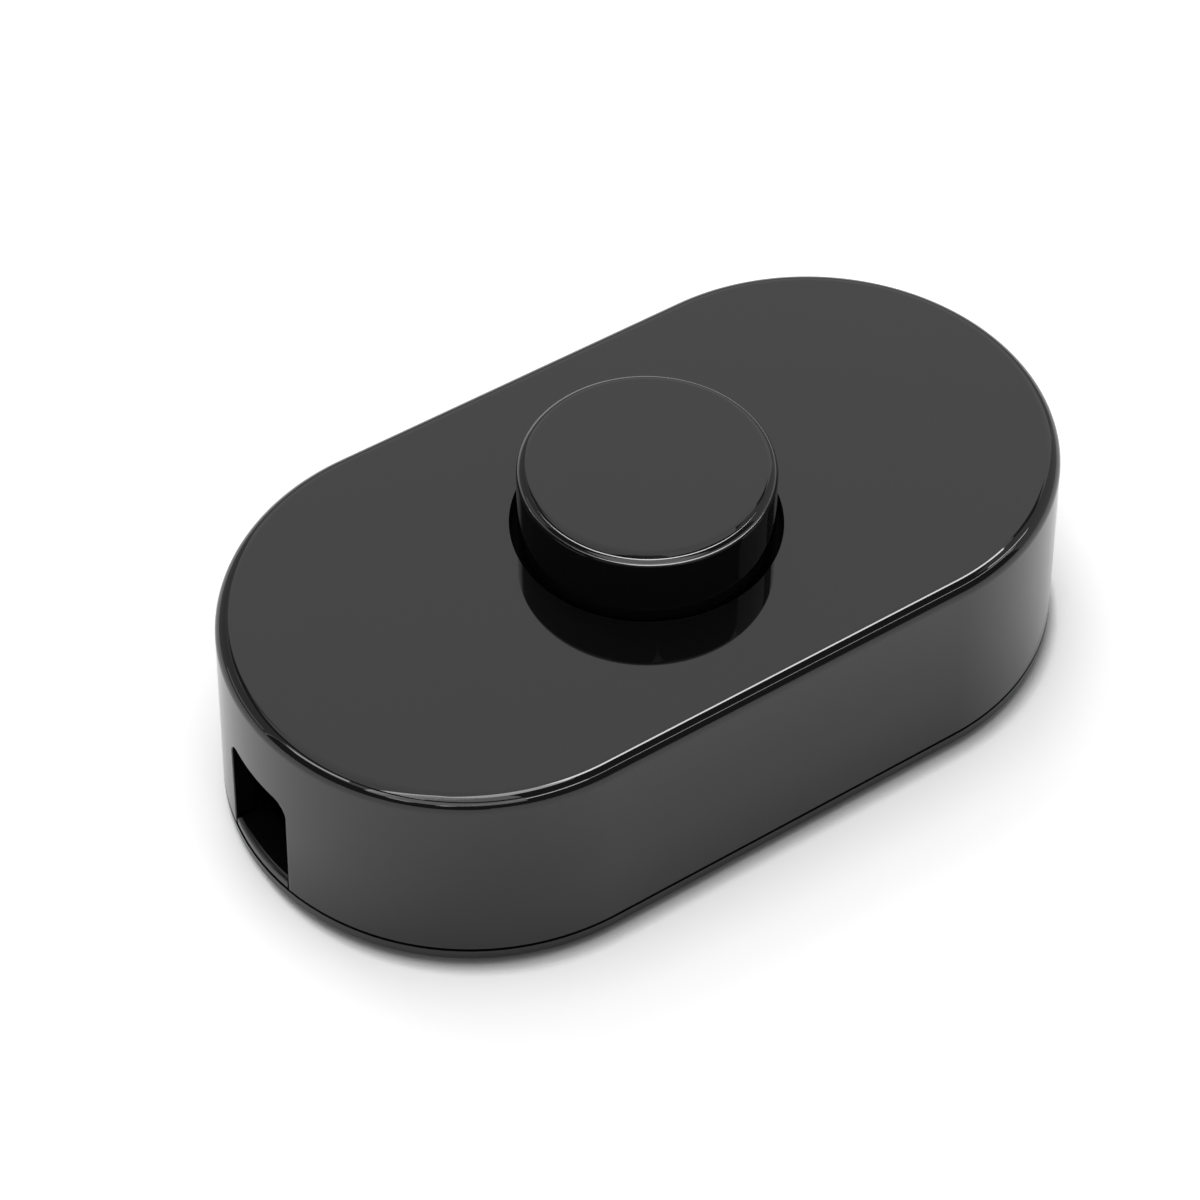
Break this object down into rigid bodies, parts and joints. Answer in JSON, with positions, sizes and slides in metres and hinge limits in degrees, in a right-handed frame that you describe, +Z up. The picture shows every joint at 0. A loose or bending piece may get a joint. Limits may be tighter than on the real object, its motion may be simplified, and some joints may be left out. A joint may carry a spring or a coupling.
{
  "type": "foot switch",
  "caption": "Black in-line foot switch: drafted stadium housing with a round push button on top, cable notches in its ends and a ratchet contact mechanism inside.",
  "frame": {"origin": "centre of the footprint, on the surface that the rubber feet stand on", "axes": "+Z up along the button's axis, +X along the housing from the incoming to the outgoing cable notch"},
  "size_m": [0.0838, 0.0464, 0.0289],
  "materials": {
    "cover_plastic": "polished mould, high gloss",
    "base_plastic": "polished mould, gloss",
    "button_plastic": "polished mould, high gloss",
    "carrier_plastic": "fine moulded",
    "sliding_plastic": "smooth moulded",
    "foot_rubber": "matt",
    "screw_steel": "zinc plated",
    "spring_steel": "drawn",
    "terminal_brass": "machined",
    "leaf_bronze": "rolled",
    "contact_silver": "headed"
  },
  "bodies": {
    "housing": {"cover_shell": "cover_plastic", "base_plate": "base_plastic", "grip_feet": "foot_rubber", "housing_screws": "screw_steel", "return_spring": "spring_steel", "rotor_axle": "spring_steel", "axle_clip": "spring_steel", "switch_frame": "carrier_plastic", "frame_screws": "screw_steel", "line_in_terminal": "terminal_brass", "line_out_terminal": "terminal_brass", "line_in_leaf": "leaf_bronze", "line_out_leaf": "leaf_bronze", "contact_rivets": "contact_silver", "neutral_link": "terminal_brass", "terminal_screws": "screw_steel", "cord_clamp_in": "carrier_plastic", "cord_clamp_out": "carrier_plastic", "clamp_screws": "screw_steel"},
    "button": {"push_button": "button_plastic", "drive_sleeve": "sliding_plastic"},
    "rotor": {"ratchet_rotor": "sliding_plastic", "contact_star": "terminal_brass"}
  },
  "joints": [
    {"name": "button_press", "type": "slide", "parent": "housing", "child": "button", "axis": [0, 0, -1], "range_m": [0, 0.004], "stiffness_N_per_m": 1500, "springref_m": -0.004, "deforming": ["return_spring"]},
    {"name": "rotor_turn", "type": "hinge", "parent": "housing", "child": "rotor", "pos_m": [0, 0, 0], "axis": [0, 0, 1], "range_deg": [0, 90]}
  ],
  "couplings": [
    {"joint": "rotor_turn", "follows": "button_press", "rad_per_m": 196.35}
  ]
}
